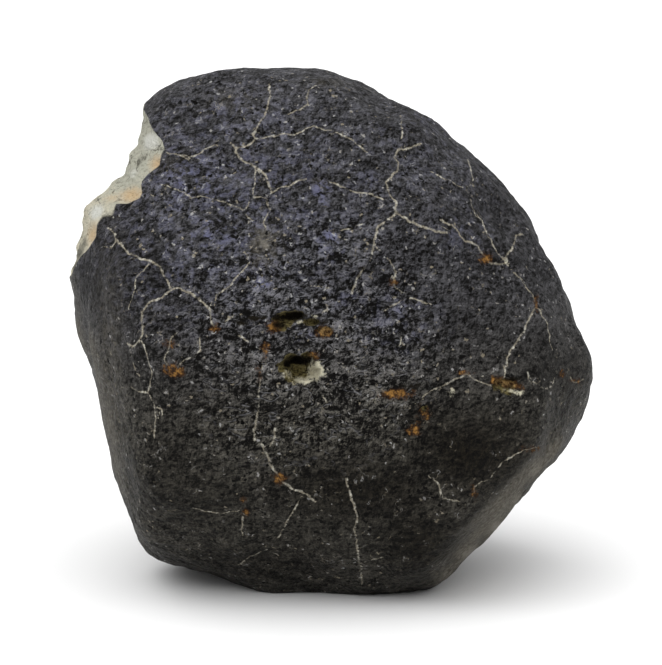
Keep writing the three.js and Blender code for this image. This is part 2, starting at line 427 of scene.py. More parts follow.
bearing = np.degrees(np.arctan2(rays[:, 1], rays[:, 0])) % 360 + layered(skin_points, EDGE_WANDER)
beside = np.maximum(np.hypot(rays[:, 0], rays[:, 1]), LEAST_BESIDE)
seen_reach = skin * beside * CAMERA_DISTANCE / (CAMERA_DISTANCE - skin * rays[:, 2])
outline, edge = [np.interp(bearing, *line.T) for line in (BREAK_OUTLINE, CRUST_EDGE)]
whole = skin_reach(ray_at(bearing, 0 * bearing))
drawn_in = edge + (seen_reach - edge) * (outline - edge) / np.maximum(whole - edge, LEAST_CORNER)
broken = skin * drawn_in / seen_reach
broken += layered(skin_points, BREAK_LUMPS) * rise(*LUMPS_GROW, skin - broken)
in_break = (bearing > BREAK_OUTLINE[0, 0]) & (bearing < BREAK_OUTLINE[-1, 0])
broken = np.where(in_break, broken, NO_CUT)
break_depth = np.clip(skin - broken, *DEPTH_KEPT)
reach = np.minimum(skin, broken)
print("points on the break:", int((break_depth > 0).sum()), "deepest cut:", break_depth.max().round(2))

# %% [markdown]
# ## Pits
#
# Soft grains weathered out of the front and left holes. Each is a rough, flattened ball sunk in the
# skin; a ray that meets the ball stops at the near side of it. The four pits are in the solid too, and
# small pockets along the cracks and under the roofs of the pits are added here.

# %% Sink the pits
PITS = np.array([
    [-3.9, -4.7, 5.4, 3.6, 2.8], [-6.2, 1.5, 2.8, 2.0, 1.7], [-0.6, 0.3, 2.4, 1.6, 0.8],
    [23.6, -7.2, 4.2, 1.9, 1.0],
])
POCKETS = np.array([
    [8.6, -8.0, 3.8, 1.2, 0.35], [-4.7, -3.6, 3.4, 1.4, 3.4], [-8.8, -2.5, 0.9, 2.2, 0.5],
    [-4.7, 2.3, 3.0, 1.4, 1.8], [-2.5, 1.4, 2.4, 1.1, 1.5], [-6.6, 0.9, 2.0, 1.6, 1.5],
    [12.4, -10.6, 0.9, 1.8, 0.4], [23.2, -6.6, 3.6, 0.9, 1.2],
])
PIT_RAGGED = [(0.9, 0.30, 31), (0.45, 0.18, 32)]


def sink(reach, hole):
    """Near crossing of each ray with the oval |(p - middle) / half sizes| = 1, where there is one."""
    middle_ray = front_rays(hole[None, :2])[0]
    middle = middle_ray * skin_reach(middle_ray[None])[0]
    half = np.array([hole[2] / 2, hole[3] / 2, hole[4]])
    half = half * (1 + layered(skin_points, PIT_RAGGED))[:, None]
    scaled = rays / half
    target = middle / half
    a = (scaled ** 2).sum(axis=-1)
    b = (scaled * target).sum(axis=-1)
    c = (target ** 2).sum(axis=-1) - 1
    inner = b * b - a * c
    near = (b - np.sqrt(np.maximum(inner, 0))) / a
    return np.where((inner > 0) & (rays[:, 2] > 0), np.minimum(reach, near), reach)


unpitted = reach
for hole in np.concatenate([PITS, POCKETS]):
    reach = sink(reach, hole)
pit_depth = unpitted - reach
print("deepest pit in mm:", pit_depth.max().round(2))

# %% [markdown]
# ## The resting spot
#
# The stone stands on one small flat. Rays that point down are stopped at the ground, which cuts the
# underside at exactly the height of the solid's own flat face.

# %% Flatten the underside
LEAST_DOWN = 0.1
ON_GROUND = 0.001

down = -(rays @ AXES)[:, 2]
ground = np.where(down > LEAST_DOWN, HEART[2] / np.maximum(down, LEAST_DOWN), NO_CUT)
reach = np.minimum(reach, ground)
points = rays * reach[:, None]
places = to_part(points)
flat_spot = places[places[:, 2] < ON_GROUND]
print("resting spot in mm:", np.ptp(flat_spot[:, :2], axis=0).round(1))

# %% [markdown]
# ## Cracks
#
# When the melted skin cooled it shrank and cracked into plates, and weathering filled the cracks with
# tan dust. They are the stone's signature, so those that the photo shows are followed as lines of pixels
# and carried to the skin. The mesh is too coarse for lines a third of a millimetre wide. So every
# point of it remembers the vector to the nearest crack: between points that vector changes evenly, and
# its length shows the crack as a sharp thin line at any size.

# %% Crack lines read from the photo
BOLD_CRACKS = [
    [(269, 84), (270, 97), (268, 107), (264, 118), (256, 129), (253, 134), (256, 140), (248, 145), (236, 148),
     (235, 152), (241, 160), (251, 165), (262, 172), (268, 180), (270, 188)],
    [(421, 144), (412, 147), (399, 150), (395, 157), (399, 162), (397, 170), (389, 178), (385, 182),
     (389, 193), (396, 203), (396, 213)],
    [(396, 213), (385, 222), (378, 226), (375, 241), (370, 260), (359, 275), (352, 294)],
    [(396, 213), (406, 219), (420, 226), (433, 231), (447, 233)],
    [(440, 220), (453, 225), (459, 232), (464, 240), (472, 243), (479, 247), (483, 254), (488, 260),
     (492, 264), (501, 264), (509, 264)],
    [(522, 234), (515, 236), (513, 244), (510, 250), (506, 256), (509, 263)],
    [(107, 227), (114, 232), (115, 240), (122, 245), (128, 254), (136, 257), (145, 260), (154, 262),
     (161, 268), (163, 276), (168, 283), (171, 289)],
    [(171, 289), (177, 288), (188, 292), (198, 299), (205, 304), (210, 311), (212, 323), (215, 328)],
    [(171, 289), (162, 298), (152, 301), (145, 308), (142, 311), (142, 323), (142, 334), (140, 342),
     (134, 346), (128, 343)],
    [(258, 396), (257, 416), (254, 431), (254, 441), (263, 445), (267, 454), (270, 465), (275, 472),
     (280, 478), (284, 483), (296, 490), (306, 494), (315, 501)],
    [(345, 477), (349, 492), (357, 515), (355, 530), (357, 546), (360, 561), (361, 574), (362, 588)],
    [(514, 273), (528, 289), (533, 294), (536, 305), (527, 323), (520, 337), (512, 348), (507, 358),
     (507, 366)],
]
PLAIN_CRACKS = [
    [(230, 143), (236, 148)], [(182, 156), (189, 160)], [(185, 193), (191, 198), (203, 196)],
    [(262, 138), (274, 136), (282, 133), (295, 134), (302, 131), (314, 126), (324, 129), (333, 130),
     (341, 134), (350, 139), (359, 145), (367, 152)],
    [(255, 167), (254, 181), (253, 195), (249, 203), (244, 210), (248, 217), (253, 220)],
    [(244, 210), (234, 206), (222, 201)],
    [(253, 197), (263, 197), (269, 194), (277, 189), (288, 186), (297, 181), (306, 178)],
    [(268, 195), (267, 203), (271, 210), (265, 216), (263, 223), (267, 231)],
    [(288, 115), (300, 109), (309, 104), (306, 98), (309, 91), (315, 85)],
    [(167, 153), (182, 156), (196, 155), (206, 149), (216, 145)],
    [(330, 181), (341, 187), (351, 191), (368, 194), (384, 199)],
    [(401, 115), (402, 130), (401, 141)], [(341, 231), (361, 225)],
    [(376, 247), (389, 260), (397, 272), (393, 281), (397, 289), (412, 298), (431, 304)],
    [(406, 298), (391, 307), (378, 315)], [(429, 171), (449, 181), (465, 189)],
    [(468, 160), (471, 170), (473, 179), (466, 188), (469, 198), (472, 207), (476, 216), (481, 221),
     (485, 230), (490, 240), (494, 247), (498, 253), (503, 258), (509, 263)],
    [(536, 307), (541, 312), (546, 324), (550, 338), (553, 351)],
    [(372, 380), (380, 387), (384, 393)],
    [(423, 397), (433, 390), (446, 385), (458, 378), (467, 374), (478, 381), (490, 386), (495, 387)],
    [(504, 366), (504, 380)],
    [(528, 370), (529, 381), (539, 384), (542, 390), (548, 389), (554, 379), (557, 373)],
    [(570, 377), (575, 383), (585, 380)], [(103, 246), (111, 248), (116, 243)],
    [(130, 348), (133, 360), (136, 370)],
    [(142, 341), (148, 359), (152, 374), (149, 390), (148, 394), (154, 406), (155, 419), (154, 439)],
    [(122, 387), (131, 387), (142, 392), (148, 394)], [(156, 407), (162, 408), (163, 416)],
    [(250, 263), (241, 272), (233, 280), (230, 287), (224, 290), (218, 294), (215, 300)],
    [(219, 331), (230, 331), (239, 336), (249, 342)], [(222, 324), (235, 315)],
    [(200, 338), (200, 351), (195, 357), (186, 360), (180, 364), (177, 370)],
    [(179, 332), (171, 338), (168, 347), (165, 359), (167, 366)],
    [(275, 428), (274, 440), (270, 446)], [(299, 501), (291, 515), (282, 531), (277, 539)],
    [(242, 517), (243, 536)], [(361, 562), (376, 559), (384, 557)],
    [(429, 476), (440, 484), (439, 498), (460, 501)],
]
FAINT_CRACKS = [
    [(148, 264), (142, 271), (136, 277), (134, 290), (130, 301), (128, 309)],
    [(191, 507), (204, 511), (219, 513), (230, 512), (240, 511)],
    [(239, 564), (249, 558), (257, 553), (267, 549)], [(267, 552), (280, 557)], [(289, 545), (299, 539)],
    [(472, 500), (474, 486), (489, 478), (502, 462), (521, 452), (538, 447)],
    [(262, 351), (260, 383), (257, 396)],
    [(267, 272), (270, 278), (272, 285), (274, 293)],
    [(269, 278), (283, 279), (297, 281), (310, 285), (330, 289)],
    [(339, 301), (330, 306), (323, 311), (320, 318), (311, 315)], [(401, 337), (399, 345), (396, 355)],
    [(326, 366), (338, 366), (346, 368), (352, 374), (363, 379)], [(377, 368), (381, 372), (386, 366)],
    [(319, 391), (325, 402), (334, 408)], [(366, 407), (377, 397)], [(160, 184), (175, 189), (190, 197)],
    [(205, 197), (218, 200), (232, 205)], [(150, 195), (157, 198), (164, 199)],
]
CRACK_GRADES = [(BOLD_CRACKS, 0.135), (PLAIN_CRACKS, 0.105), (FAINT_CRACKS, 0.085)]
PIXEL_STEP = 0.8
WANDER = 1.1
WANDER_SIZE = 5.0


def stepped(line):
    """The line walked from end to end in even steps of its own length."""
    line = np.array(line, dtype=float)
    walked = np.concatenate([[0], np.cumsum(np.linalg.norm(np.diff(line, axis=0), axis=-1))])
    stations = np.arange(0, walked[-1], PIXEL_STEP)
    return np.column_stack([np.interp(stations, walked, line[:, i]) for i in (0, 1)])


def wandering(pixels):
    """Each pixel moved by two clouds, one for across and one for down, so that lines aren't ruled."""
    flat = np.column_stack([pixels, np.zeros(len(pixels))])
    return pixels + WANDER * np.column_stack([cloud(flat, WANDER_SIZE, seed) for seed in (41, 42)])


seen_pixels = [np.concatenate([stepped(line) for line in lines]) for lines, _ in CRACK_GRADES]
seen_widths = np.concatenate([np.full(len(p), w) for p, (_, w) in zip(seen_pixels, CRACK_GRADES)])
seen_cracks = on_stone(wandering(np.concatenate(seen_pixels)))
print("crack stations seen in the photo:", len(seen_cracks))

# %% [markdown]
# ## Cracks on the hidden sides
#
# The photo says nothing about the back, but the same skin cooled there. Knots spread evenly over the
# ball, each shaken a little, are joined to their nearest neighbours, and every joint wanders. Only the
# stretches that the photo's view doesn't reach are kept.

# %% A crack net for the unseen sides
KNOT_COUNT = 70
NEIGHBOURS = 2
STATIONS = 110
KNOT_SHAKE = [(0.11, 0.16, 51)]
NET_SHAKE = [(0.10, 0.035, 54), (0.04, 0.018, 57)]
HIDDEN_DEPTH = -7.0
HIDDEN_WIDTH = 0.13
FAR_OFF = 9.0


def shaken(rays, layers):
    """Rays moved along each axis by clouds of its own, and made one long again."""
    own = [[(size, height, seed + axis) for size, height, seed in layers] for axis in range(3)]
    return unit(rays + np.column_stack([layered(rays, clouds) for clouds in own]))


knots = shaken(spread_directions(KNOT_COUNT), KNOT_SHAKE)
gaps = np.linalg.norm(knots[:, None] - knots[None], axis=-1) + FAR_OFF * np.eye(KNOT_COUNT)
nearest = np.argsort(gaps, axis=1)[:, :NEIGHBOURS]
starts = np.repeat(knots, NEIGHBOURS, axis=0)
ends = knots[nearest.ravel()]
along = np.linspace(0, 1, STATIONS)[None, :, None]
net = shaken(unit((starts[:, None] * (1 - along) + ends[:, None] * along).reshape(-1, 3)), NET_SHAKE)
hidden_cracks = net * skin_reach(net)[:, None]
hidden_cracks = hidden_cracks[hidden_cracks[:, 2] < HIDDEN_DEPTH]
print("crack stations on the hidden sides:", len(hidden_cracks))

# %% [markdown]
# ## The way from every point to its crack
#
# Comparing every point with every station is a large table, so it is done a slice at a time, as one
# matrix product: the squared distance is p.p + q.q - 2 p.q.

# %% Nearest crack for every point
SLICE = 4096
crack_points = np.concatenate([seen_cracks, hidden_cracks])
crack_widths = np.concatenate([seen_widths, np.full(len(hidden_cracks), HIDDEN_WIDTH)])


def nearest_station(points):
    """Index of the station with the smallest p.p + q.q - 2 p.q, slice by slice."""
    size = (crack_points ** 2).sum(axis=-1)
    slices = np.array_split(points, max(1, len(points) // SLICE))
    return np.concatenate([(size - 2 * part @ crack_points.T).argmin(axis=1) for part in slices])


unbroken_points = rays * np.minimum(skin, ground)[:, None]
station = nearest_station(unbroken_points)
crack_offset = crack_points[station] - unbroken_points
crack_near = np.linalg.norm(crack_offset, axis=-1)
crack_width = crack_widths[station]
print("points within half a millimetre of a crack:", int((crack_near < 0.5).sum()))

# %% [markdown]
# ## Stains
#
# Iron in the stone rusts where water creeps in, so orange spots sit on cracks and pits. Pale mineral
# shows at the rims of the holes, dust clings to some patches and is swept off one, and along the lower
# right edge the thick pale dust is partly painted light. Under the roofs of the holes and in the crevices
# around them, painted shadow is laid in black. Each stain is a soft oval round a pixel of the photo: middle,
# half width, half height and strength. The strongest one counts where several overlap.

# %% Stains read from the photo
RUST = [
    (215, 328, 5, 4, 0.9), (178, 371, 7, 5, 0.9), (172, 370, 10, 7, 0.7), (280, 478, 7, 6, 0.9),
    (246, 513, 4, 5, 0.7), (243, 500, 3, 4, 0.6), (393, 282, 5, 4, 0.75), (397, 394, 15, 5, 1.0),
    (497, 381, 7, 5, 0.9), (508, 384, 9, 5, 1.0), (519, 386, 6, 4, 0.9), (424, 416, 9, 13, 0.35),
    (414, 431, 7, 5, 0.8), (562, 374, 5, 4, 0.55),
    (487, 258, 7, 6, 0.8), (313, 357, 7, 5, 1.0), (265, 351, 5, 8, 0.7), (258, 376, 4, 14, 0.45),
    (274, 326, 8, 6, 1.0), (536, 303, 3, 9, 0.75), (325, 332, 8, 6, 1.0), (575, 381, 7, 3, 0.6),
    (474, 492, 4, 9, 0.5), (530, 449, 12, 4, 0.5), (168, 345, 8, 6, 0.45), (466, 373, 8, 3, 0.6),
]
PALE = [
    (316, 371, 9, 11, 0.9), (302, 381, 13, 4, 0.8), (287, 374, 7, 5, 0.6), (508, 390, 9, 3, 0.6),
    (519, 393, 8, 3, 0.65),
    (300, 322, 4, 3, 0.6), (452, 391, 4, 7, 0.55), (507, 263, 6, 2, 0.6), (417, 440, 4, 3, 0.5),
    (316, 316, 6, 3, 0.5), (393, 279, 3, 3, 0.5),
]
# The strong dust spots along the lower right edge are partly painted light on a face turned from the lamp.
DUST_AND_PAINTED_LIGHT = [
    (264, 244, 12, 14, 1.4), (262, 258, 7, 9, 0.9), (320, 83, 12, 5, 0.5), (336, 82, 10, 5, 0.5),
    (170, 165, 12, 12, 0.3), (232, 100, 24, 12, 0.3), (310, 540, 8, 8, 0.4), (275, 542, 7, 6, 0.4),
    (222, 543, 7, 6, 0.4), (320, 183, 8, 6, 0.5), (110, 380, 14, 110, 0.65),
    (470, 545, 24, 40, 0.3), (553, 448, 11, 17, 1.0), (536, 473, 13, 17, 1.25), (517, 500, 15, 18, 1.35),
    (496, 527, 17, 18, 1.4), (470, 553, 20, 15, 1.4), (446, 575, 16, 12, 1.1),
]
SWEPT = [(97, 285, 34, 42, 0.9)]
# Painted shadows: black ovals under the roofs of the holes and along their crevices.
HOLLOW_SHADOWS = [
    (300, 360, 17, 5, 1.0), (287, 363, 5, 6, 0.8), (294, 316, 14, 5, 1.05), (279, 325, 9, 4, 0.8),
    (322, 322, 12, 4, 0.65), (410, 386, 12, 4, 0.6), (514, 379, 12, 3, 0.7), (344, 316, 8, 3, 0.5),
    (255, 318, 13, 3, 0.85), (286, 317, 22, 4, 0.7), (242, 323, 10, 3, 0.75), (346, 334, 10, 3, 0.5),
    (302, 347, 14, 3, 0.5), (236, 374, 14, 3, 0.6), (360, 268, 26, 4, 0.5), (300, 275, 26, 4, 0.4),
]
STAIN_DEPTH = 16.0
WORN_DUST = 0.65
DUST_CLOUDS = [(4.0, 0.3, 64)]


def stain(spots):
    """Strongest of strength * exp(-((across / half width)^2 + (up / half height)^2)) over the spots."""
    spots = np.array(spots, dtype=float)
    strongest = np.zeros(len(points))
    halves = spots[:, 2:4] * MM_PER_PIXEL
    for middle, half, strength in zip(on_stone(spots[:, :2]), halves, spots[:, 4]):
        offset = (points - middle)[:, :2] / half
        oval = strength * np.exp(-(offset ** 2).sum(axis=-1))
        close = np.abs(points[:, 2] - middle[2]) < STAIN_DEPTH
        strongest = np.maximum(strongest, np.where(close, oval, 0))
    return strongest


rust, pale, hollow = stain(RUST), stain(PALE), stain(HOLLOW_SHADOWS)
worn_dust = worn * (WORN_DUST + layered(points, DUST_CLOUDS)) * (1 - stain(SWEPT))
# Dust, and along the lower right edge partly painted light.
dust = np.maximum(stain(DUST_AND_PAINTED_LIGHT), worn_dust)
print("rusty points:", int((rust > 0.5).sum()), "pale points:", int((pale > 0.5).sum()))

# %% [markdown]
# ## Dark patches, partly painted shade, and glossy patches, partly painted sheen
#
# The crust isn't one black. Low down and round the sides it is dark and brown, and part of that darkening
# is painted shade for the dim light on the faces turned down and away. On the upper left it keeps a glossy
# blue glaze where melt ran thick, and its blue is partly painted sheen. Both are broad ovals on the front.
# The hidden sides get patches from clouds instead, and a little rust along their cracks.

# %% Tones of the crust
# Darker patches on the front: painted shade, strongest low down and on the faces turned away.
DARK_AND_SHADED_PATCHES = [
    (470, 455, 80, 55, 1.0), (360, 490, 110, 50, 0.9), (300, 545, 130, 45, 0.5), (420, 540, 60, 50, 0.9),
    (540, 360, 40, 60, 0.5), (190, 400, 50, 60, 0.4), (140, 270, 40, 40, 0.5), (330, 275, 70, 14, 0.5),
    (470, 310, 60, 60, 0.35), (210, 500, 70, 60, 0.6), (130, 300, 26, 60, 0.5), (165, 330, 60, 60, 0.4),
    (500, 220, 80, 70, 0.5), (575, 380, 26, 60, 0.6), (430, 130, 60, 40, 0.3), (290, 470, 60, 40, 0.45),
    (250, 560, 130, 36, 0.6), (170, 480, 50, 70, 0.6), (98, 283, 34, 42, 1.0),
    (112, 252, 28, 26, 0.8), (275, 420, 50, 24, 0.4),
]
# Glaze patches: real gloss, with a blue that is partly painted sheen.
GLAZE_AND_SHEEN = [
    (230, 200, 110, 100, 0.5), (400, 160, 110, 60, 0.2), (190, 180, 36, 30, 1.0), (215, 235, 36, 20, 0.9),
    (322, 190, 9, 12, 1.8), (331, 236, 8, 11, 1.6), (262, 283, 8, 6, 1.5), (180, 270, 26, 14, 0.5),
    (330, 240, 22, 20, 0.6), (240, 110, 50, 24, 0.5), (430, 120, 30, 20, 0.4), (460, 230, 26, 18, 0.4),
    (345, 300, 18, 10, 0.5), (360, 180, 30, 16, 0.4), (395, 330, 40, 24, 0.4), (300, 335, 12, 7, 0.8),
    (185, 172, 7, 5, 1.5), (205, 238, 9, 6, 1.4), (405, 310, 24, 16, 0.6),
]

HIDDEN_FROM = (-2.0, -10.0)
HIDDEN_DARK_TONE = (13.0, 61, -0.1, 0.5, 0.8)
HIDDEN_GLAZE = (11.0, 62, 0.1, 0.6, 0.6)
HIDDEN_RUST = (5.0, 63, 0.25, 0.6, 0.75)
RUST_REACH = 0.8


def hidden_patches(size, seed, low, high, strength):
    """Where a cloud stands high, on the sides that the photo doesn't show."""
    return strength * rise(*HIDDEN_FROM, points[:, 2]) * rise(low, high, cloud(points, size, seed))


# Painted shade on the front, and random dark patches from clouds on the hidden sides.
shade = np.maximum(stain(DARK_AND_SHADED_PATCHES), hidden_patches(*HIDDEN_DARK_TONE))
glaze = np.maximum(stain(GLAZE_AND_SHEEN), hidden_patches(*HIDDEN_GLAZE))
on_crack = np.exp(-(crack_near / RUST_REACH) ** 2)
rust = np.maximum(rust, on_crack * hidden_patches(*HIDDEN_RUST))
print("shaded points:", int((shade > 0.5).sum()), "glazed points:", int((glaze > 0.5).sum()))

# %% [markdown]
# ## Tints of the broken corner
#
# The inside is a pale grey stone that has weathered cream. Rust has soaked in from the edge of the
# crust at three places, a few spots are dark and the lower end is darkened with painted shade, and the
# freshest spots are nearly white.

# %% Tints of the inside
INSIDE_RUST = [
    (158, 164, 9, 9, 1.0), (132, 195, 14, 9, 1.0), (92, 234, 8, 11, 0.9), (112, 197, 12, 6, 0.5),
]
# Dark specks, and painted shade at the lower end of the break.
INSIDE_DARK_AND_SHADE = [
    (141, 157, 6, 5, 0.7), (82, 243, 8, 9, 0.9), (78, 253, 8, 8, 1.2), (74, 267, 6, 9, 1.4),
    (146, 118, 5, 7, 0.6), (127, 179, 9, 3, 0.6), (165, 146, 3, 12, 0.7), (110, 204, 10, 2, 0.5),
]
INSIDE_FRESH = [(150, 141, 9, 9, 0.8), (96, 212, 9, 8, 0.8), (132, 172, 6, 6, 0.5)]

inside_rust, inside_shade, inside_fresh = stain(INSIDE_RUST), stain(INSIDE_DARK_AND_SHADE), stain(INSIDE_FRESH)
print("rusted points inside:", int(((inside_rust > 0.5) & (break_depth > 0)).sum()))

# %% [markdown]
# ## The mesh
#
# All arrays go into the mesh at once. The measures that the material needs ride along as attributes of
# the points, three to a vector, and the six square grids are laid side by side as a map of their own, with
# no waste, for whoever wants to bake the finish into pictures.

# %% Put the surface into a mesh
MEASURES = {
    "crack": {"crack_near": crack_near, "crack_width": crack_width, "break_depth": break_depth},
    "stain": {"rust": rust, "pale": pale, "dust": dust},
    "form": {"worn": worn, "crag": crag, "pit_depth": pit_depth},
    "tone": {"shade": shade, "glaze": glaze, "hollow": hollow},
    "inside": {"inside_rust": inside_rust, "inside_shade": inside_shade, "inside_fresh": inside_fresh},
}
MAP_COLUMNS = 3
MAP_ROWS = 2
MAP_MARGIN = 0.006


def make_mesh(name):
    """Points and quads filled in by whole arrays; smooth shading over all of it."""
    mesh = bpy.data.meshes.new(name)
    mesh.from_pydata((places * MM).tolist(), [], quads.tolist())
    mesh.polygons.foreach_set("use_smooth", np.ones(len(quads), dtype=bool))
    return mesh


def keep_on_points(mesh, name, vectors):
    """One vector for each point of the mesh."""
    kept = mesh.attributes.new(name, "FLOAT_VECTOR", "POINT")
    kept.data.foreach_set("vector", vectors.astype(np.float32).ravel())


def lay_out_map(mesh):
    """Each side's grid place, from 0 to 1 twice, shrunk into its own box of a 3 by 2 sheet."""
    side, place = np.divmod(grid_corners.ravel(), (CELLS + 1) ** 2)
    across, along = np.divmod(place, CELLS + 1)
    inset = MAP_MARGIN + (1 - 2 * MAP_MARGIN) * np.column_stack([across, along]) / CELLS
    box = np.column_stack([side % MAP_COLUMNS, side // MAP_COLUMNS])
    sheet = (box + inset) / [MAP_COLUMNS, MAP_ROWS]
    mesh.uv_layers.new(name="OFBake").data.foreach_set("uv", sheet.astype(np.float32).ravel())


stone_mesh = make_mesh("meteorite_stone")
keep_on_points(stone_mesh, "crack_offset", crack_offset)
for measure, arrays in MEASURES.items():
    keep_on_points(stone_mesh, measure, np.column_stack(list(arrays.values())))
lay_out_map(stone_mesh)
stone_mesh.update()
print("mesh:", len(stone_mesh.vertices), "points,", len(stone_mesh.polygons), "faces")

# %% [markdown]
# ## A short hand for wiring nodes
#
# A material is a net of small steps. These few helpers add a step and feed it either a number or
# another step's result, so that the recipe below reads from top to bottom.

# %% Node helpers
class Recipe:
    """A material's node tree, with one short call for each kind of step."""

    def __init__(self, name):
        self.material = bpy.data.materials.new(name)
        self.material.use_nodes = True
        self.tree = self.material.node_tree
        self.shader = self.tree.nodes["Principled BSDF"]

    def step(self, kind, feeds, **settings):
        """A new node of a kind, with its settings and with its sockets fed."""
        node = self.tree.nodes.new(kind)
        for key, value in settings.items():
            setattr(node, key, value)
        for socket, value in feeds.items():
            self.feed(node.inputs[socket], value)
        return node

    def feed(self, socket, value):
        """A link where the value is another step's result, and else a plain value."""
        if isinstance(value, bpy.types.NodeSocket):
            self.tree.links.new(value, socket)
        else:
            socket.default_value = value

    def sum(self, operation, *values):
        """One sum of arithmetic on numbers."""
        node = self.step("ShaderNodeMath", dict(enumerate(values)), operation=operation)
        return node.outputs[0]

    def weighted(self, *shares):
        """Each pattern times its weight, all added up."""
        total = 0.0
        for pattern, weight in shares:
            total = self.sum("MULTIPLY_ADD", pattern, weight, total)
        return total

    def times(self, first, *others):
        """All values multiplied together."""
        for other in others:
            first = self.sum("MULTIPLY", first, other)
        return first

    def largest(self, first, *others):
        """The largest of the values."""
        for other in others:
            first = self.sum("MAXIMUM", first, other)
        return first

    def rise(self, value, low, high, bottom=0.0, top=1.0):
        """The bottom below low, the top above high, and a smooth step between."""
        feeds = {"Value": value, "From Min": low, "From Max": high, "To Min": bottom, "To Max": top}
        node = self.step("ShaderNodeMapRange", feeds, interpolation_type="SMOOTHSTEP")
        return node.outputs[0]

    def blend(self, share, under, over):
        """The over colour's share laid on the under colour; 6, 7 and 2 are the node's colour sockets."""
        node = self.step("ShaderNodeMix", {0: share, 6: under, 7: over}, data_type="RGBA")
        return node.outputs[2]

    def on_vector(self, operation, result, *vectors):
        """One sum on vectors, giving the named result."""
        node = self.step("ShaderNodeVectorMath", dict(enumerate(vectors)), operation=operation)
        return node.outputs[result]

    def parts(self, vector):
        """The three numbers of a vector."""
        return self.step("ShaderNodeSeparateXYZ", {0: vector}).outputs

    def kept(self, name):
        """The vector of an attribute kept on the points."""
        return self.step("ShaderNodeAttribute", {}, attribute_name=name).outputs["Vector"]

    def place_in_mm(self):
        """The place on the stone, in the part's own frame."""
        where = self.step("ShaderNodeTexCoord", {}).outputs["Object"]
        return self.on_vector("MULTIPLY", "Vector", where, (1 / MM,) * 3)


print("recipe steps:", [name for name in vars(Recipe) if not name.startswith("_")])

# %% [markdown]
# ## Clouds, seams and grains
#
# Three kinds of pattern make all the fine surface. Clouds are uneven everywhere; the line along which a
# cloud passes its middle value is a wandering seam; and packed cells with a random number each are grains.
# A real crust shows its relief by light, but soft light hides it. So light and shade are painted into the
# colour: a cloud is also read a little higher up, and where it is lower there, the surface faces up and gets
# a painted highlight, and where it is higher there, a ledge hangs over and gets a painted shadow. Ledges and
# furrows are wider than they are high, so their clouds are read in a space that is squeezed across.

# %% Patterns of the crust
CLOUDS = {
    "patchy": (7.0, 3.0, 0.50), "blotchy": (1.7, 2.0, 0.60), "ragged": (0.95, 3.0, 0.60),
    "grit": (0.50, 4.0, 0.68), "crumb": (0.65, 4.0, 0.62),
}
LEDGE_CLOUD = (2.5, 3.0, 0.58)
LEDGE_STRETCH = (0.65, 0.65, 1.3)
FURROW_CLOUD = (2.8, 2.0, 0.55)
FRET_CLOUD = (0.50, 2.0, 0.60)
HAIR_CLOUD = (3.2, 4.0, 0.60)
VEIN_CLOUD = (3.4, 2.0, 0.50)
SHAKE_CLOUD = (0.50, 2.0, 0.50)
HAIR_WIDTH = 0.012
VEIN_WIDTH = 0.020
FURROW_WIDTH = 0.024
SEAM_CORE = 0.2
FINE_GRAIN = 0.40
COARSE_GRAIN = 0.75
GRAIN_SHAKE = 0.9
CRUMB_LIGHT_REACH = (-0.08, 0.0, 0.10)
LEDGE_LIGHT_REACH = (-0.15, 0.0, 0.50)
LIP_HIGHLIGHT_REACH = (0.0, 0.0, 0.20)


def cloud_of(recipe, where, look, result=0):
    """A cloud with a look: its size in mm, how many finer layers it has, and their strength."""
    size, detail, roughness = look
    feeds = {"Vector": where, "Scale": 1 / size, "Detail": detail, "Roughness": roughness}
    return recipe.step("ShaderNodeTexNoise", feeds).outputs[result]


def painted_top_light(recipe, where, look, reach):
    """The cloud here minus the cloud a short reach higher up: painted light from above on the bumps."""
    higher = recipe.on_vector("ADD", "Vector", where, reach)
    return recipe.sum("SUBTRACT", *[cloud_of(recipe, place, look) for place in (where, higher)])


def seam(recipe, where, look, width):
    """1 on the line where the cloud passes a half, falling to 0 at the width to either side."""
    from_half = recipe.sum("SUBTRACT", cloud_of(recipe, where, look), 0.5)
    return recipe.rise(recipe.sum("ABSOLUTE", from_half), width, width * SEAM_CORE)


def grains(recipe, where, size):
    """Packed cells: the distance from the nearest middle, and one random number for each cell."""
    shake = cloud_of(recipe, where, SHAKE_CLOUD, "Color")
    shaken = recipe.on_vector("MULTIPLY_ADD", "Vector", shake, (GRAIN_SHAKE,) * 3, where)
    node = recipe.step("ShaderNodeTexVoronoi", {"Vector": shaken, "Scale": 1 / size})
    lot = recipe.step("ShaderNodeSeparateColor", {0: node.outputs["Color"]}).outputs[0]
    return node.outputs["Distance"], lot


